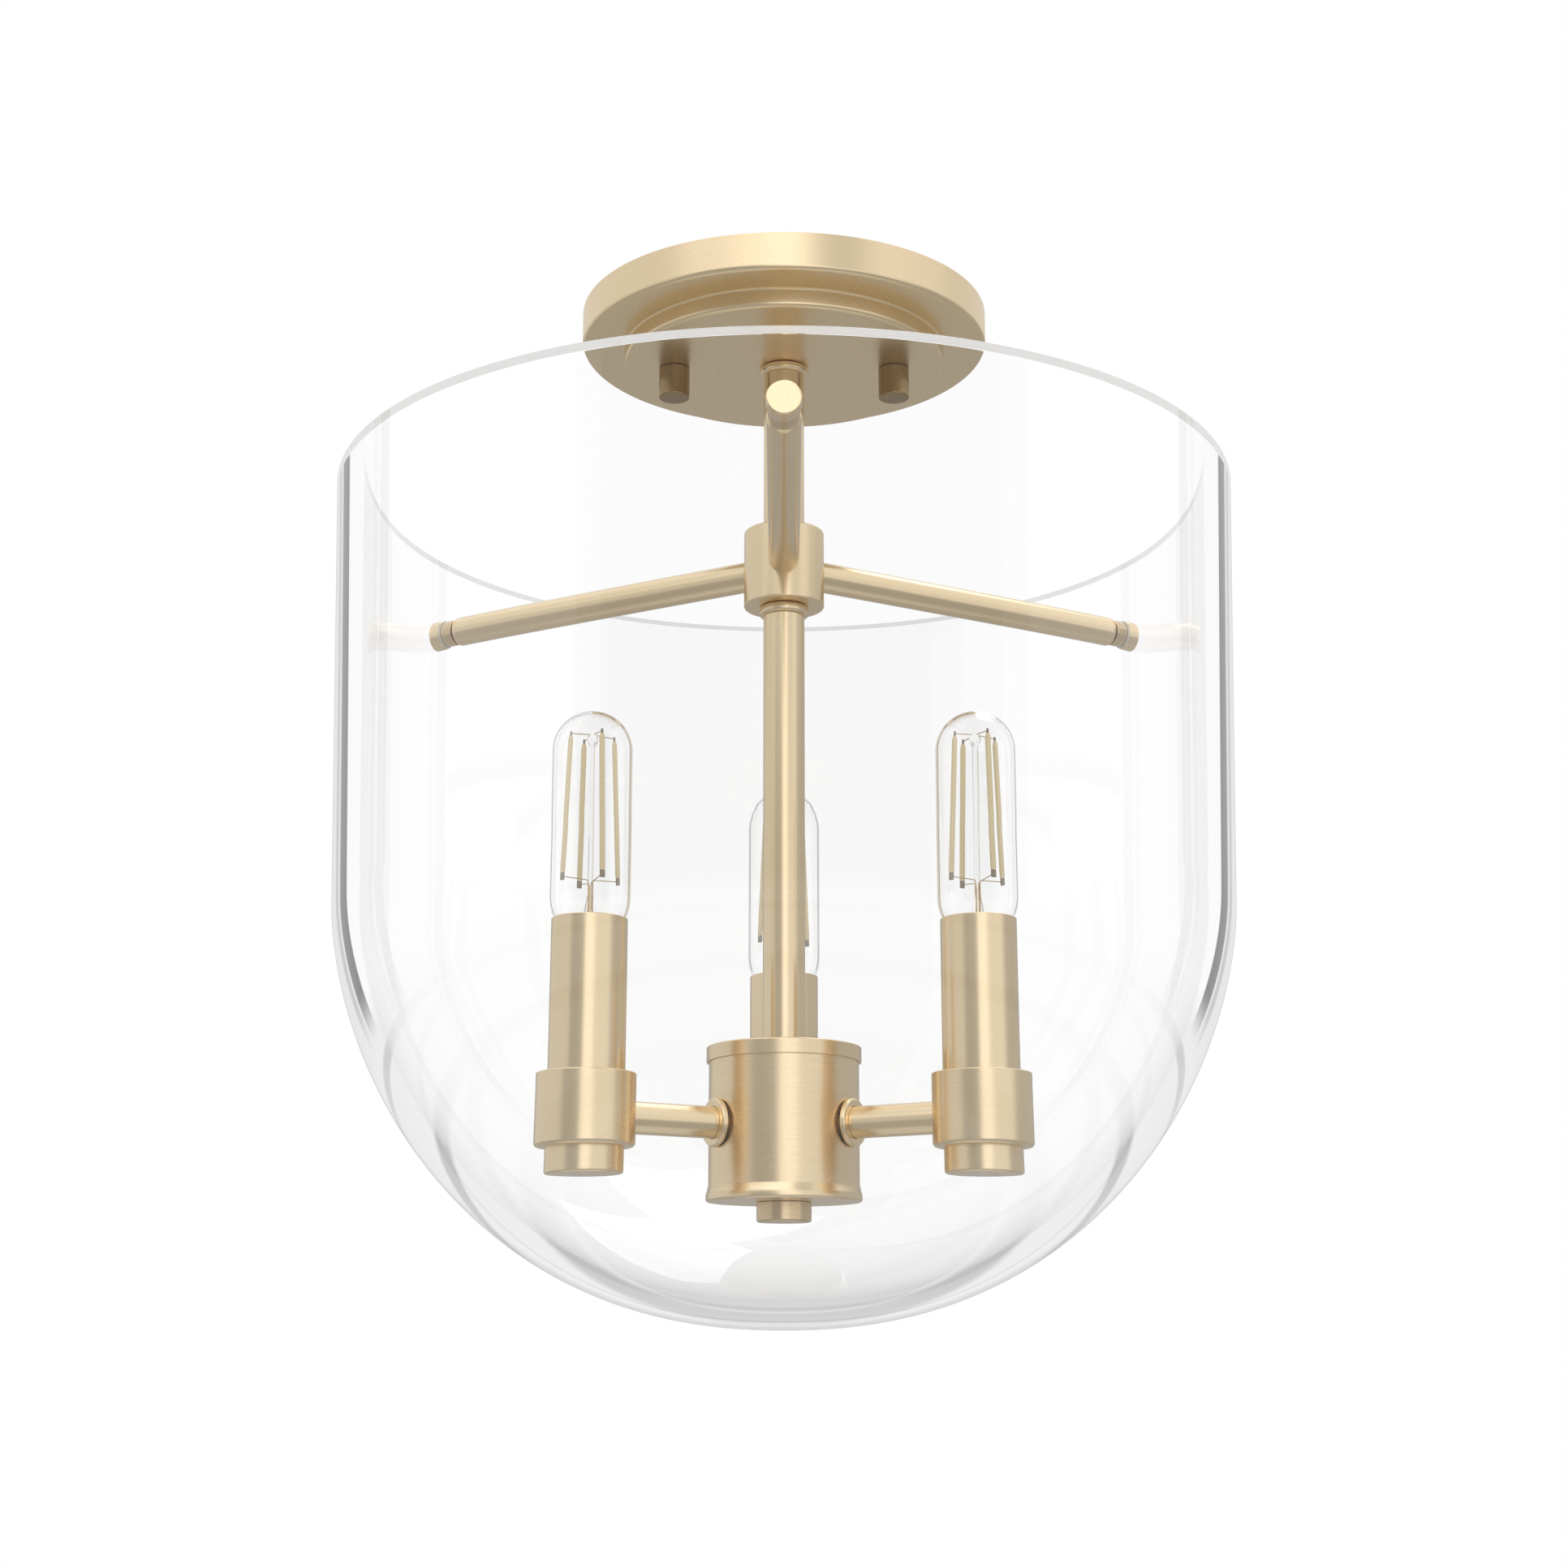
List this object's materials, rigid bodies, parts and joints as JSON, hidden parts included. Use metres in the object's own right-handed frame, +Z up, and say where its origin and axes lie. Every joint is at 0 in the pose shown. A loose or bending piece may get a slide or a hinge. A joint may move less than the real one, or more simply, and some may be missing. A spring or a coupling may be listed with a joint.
{
  "type": "semi flush ceiling light",
  "caption": "Semi flush ceiling light: a deep, thick clear glass bowl hung on rods under a stepped brass canopy, with brass candle lamps standing inside it.",
  "frame": {"origin": "centre of the canopy's open face, on the ceiling plane and in the middle of the crossbar's slots", "axes": "+Z up into the ceiling, so the light hangs towards -Z; -Y is the front, where one glass rod points; +X is the right seen from the front"},
  "size_m": [0.3299, 0.3367, 0.3773],
  "materials": {
    "brass": "satin brushed",
    "zinc_steel": "zinc plated",
    "ground_green": "gloss",
    "clear_glass": "polished",
    "bulb_glass": "polished",
    "nylon": "satin",
    "socket_body": "satin",
    "lamp_base": "pressed sheet",
    "insulator": "gloss",
    "filament": "coated strips"
  },
  "bodies": {
    "fixture": {"canopy": "brass", "stem_collar": "brass", "upper_stem": "brass", "hub": "brass", "hub_collar": "brass", "lower_stem": "brass", "cluster_top_cap": "brass", "cluster_body": "brass", "cluster_bottom_cap": "brass", "arm_rosettes": "brass", "mounting_bracket": "zinc_steel", "canopy_studs": "zinc_steel", "stud_locknuts": "zinc_steel", "threaded_pipe": "zinc_steel", "pipe_locknut": "zinc_steel", "ground_screw": "ground_green", "glass_shade": "clear_glass", "shade_bushings": "nylon", "shade_arm_front": "brass", "shade_arm_right": "brass", "shade_arm_left": "brass", "lamp_arm_right": "brass", "socket_cup_right": "brass", "cup_base_right": "brass", "lamp_socket_right": "socket_body", "candle_sleeve_right": "brass", "lamp_arm_left": "brass", "socket_cup_left": "brass", "cup_base_left": "brass", "lamp_socket_left": "socket_body", "candle_sleeve_left": "brass", "lamp_arm_back": "brass", "socket_cup_back": "brass", "cup_base_back": "brass", "lamp_socket_back": "socket_body", "candle_sleeve_back": "brass"},
    "cap_travel_front": {"shade_washer_front": "nylon"},
    "cap_front": {"shade_cap_front": "brass"},
    "cap_travel_right": {"shade_washer_right": "nylon"},
    "cap_right": {"shade_cap_right": "brass"},
    "cap_travel_left": {"shade_washer_left": "nylon"},
    "cap_left": {"shade_cap_left": "brass"},
    "lamp_travel_right": {"bulb_contact_right": "insulator"},
    "lamp_right": {"bulb_base_right": "lamp_base", "bulb_glass_right": "bulb_glass", "bulb_filaments_right": "filament"},
    "lamp_travel_left": {"bulb_contact_left": "insulator"},
    "lamp_left": {"bulb_base_left": "lamp_base", "bulb_glass_left": "bulb_glass", "bulb_filaments_left": "filament"},
    "lamp_travel_back": {"bulb_contact_back": "insulator"},
    "lamp_back": {"bulb_base_back": "lamp_base", "bulb_glass_back": "bulb_glass", "bulb_filaments_back": "filament"},
    "canopy_nut_left": {"canopy_nut_left": "brass"},
    "canopy_nut_right": {"canopy_nut_right": "brass"},
    "finial": {"cluster_finial": "brass"}
  },
  "joints": [
    {"name": "cap_out_front", "type": "slide", "parent": "fixture", "child": "cap_travel_front", "axis": [0, -1, 0], "range_m": [0, 0.0081]},
    {"name": "cap_turn_front", "type": "hinge", "parent": "cap_travel_front", "child": "cap_front", "pos_m": [0, -0.168, -0.1012], "axis": [0, -1, 0], "range_deg": [0, 3600]},
    {"name": "cap_out_right", "type": "slide", "parent": "fixture", "child": "cap_travel_right", "axis": [0.866, 0.5, 0], "range_m": [0, 0.0081]},
    {"name": "cap_turn_right", "type": "hinge", "parent": "cap_travel_right", "child": "cap_right", "pos_m": [0.14549, 0.084, -0.1012], "axis": [0.866, 0.5, 0], "range_deg": [0, 3600]},
    {"name": "cap_out_left", "type": "slide", "parent": "fixture", "child": "cap_travel_left", "axis": [-0.866, 0.5, 0], "range_m": [0, 0.0081]},
    {"name": "cap_turn_left", "type": "hinge", "parent": "cap_travel_left", "child": "cap_left", "pos_m": [-0.14549, 0.084, -0.1012], "axis": [-0.866, 0.5, 0], "range_deg": [0, 3600]},
    {"name": "lamp_out_right", "type": "slide", "parent": "fixture", "child": "lamp_travel_right", "axis": [0, 0, 1], "range_m": [0, 0.0102]},
    {"name": "lamp_turn_right", "type": "hinge", "parent": "lamp_travel_right", "child": "lamp_right", "pos_m": [0.06677, -0.03855, -0.26], "axis": [0, 0, 1], "range_deg": [0, 1440]},
    {"name": "lamp_out_left", "type": "slide", "parent": "fixture", "child": "lamp_travel_left", "axis": [0, 0, 1], "range_m": [0, 0.0102]},
    {"name": "lamp_turn_left", "type": "hinge", "parent": "lamp_travel_left", "child": "lamp_left", "pos_m": [-0.06677, -0.03855, -0.26], "axis": [0, 0, 1], "range_deg": [0, 1440]},
    {"name": "lamp_out_back", "type": "slide", "parent": "fixture", "child": "lamp_travel_back", "axis": [0, 0, 1], "range_m": [0, 0.0102]},
    {"name": "lamp_turn_back", "type": "hinge", "parent": "lamp_travel_back", "child": "lamp_back", "pos_m": [0, 0.0771, -0.26], "axis": [0, 0, 1], "range_deg": [0, 1440]},
    {"name": "canopy_nut_turn_left", "type": "hinge", "parent": "fixture", "child": "canopy_nut_left", "pos_m": [-0.0415, 0, -0.028], "axis": [0, 0, 1], "range_deg": [0, 3600]},
    {"name": "canopy_nut_turn_right", "type": "hinge", "parent": "fixture", "child": "canopy_nut_right", "pos_m": [0.0415, 0, -0.028], "axis": [0, 0, 1], "range_deg": [0, 3600]},
    {"name": "finial_turn", "type": "hinge", "parent": "fixture", "child": "finial", "pos_m": [0, 0, -0.337], "axis": [0, 0, 1], "range_deg": [0, 1440]}
  ],
  "couplings": [
    {"joint": "cap_out_front", "follows": "cap_turn_front", "m_per_rad": 0.00012732},
    {"joint": "cap_out_right", "follows": "cap_turn_right", "m_per_rad": 0.00012732},
    {"joint": "cap_out_left", "follows": "cap_turn_left", "m_per_rad": 0.00012732},
    {"joint": "lamp_out_right", "follows": "lamp_turn_right", "m_per_rad": 0.00040425},
    {"joint": "lamp_out_left", "follows": "lamp_turn_left", "m_per_rad": 0.00040425},
    {"joint": "lamp_out_back", "follows": "lamp_turn_back", "m_per_rad": 0.00040425}
  ]
}
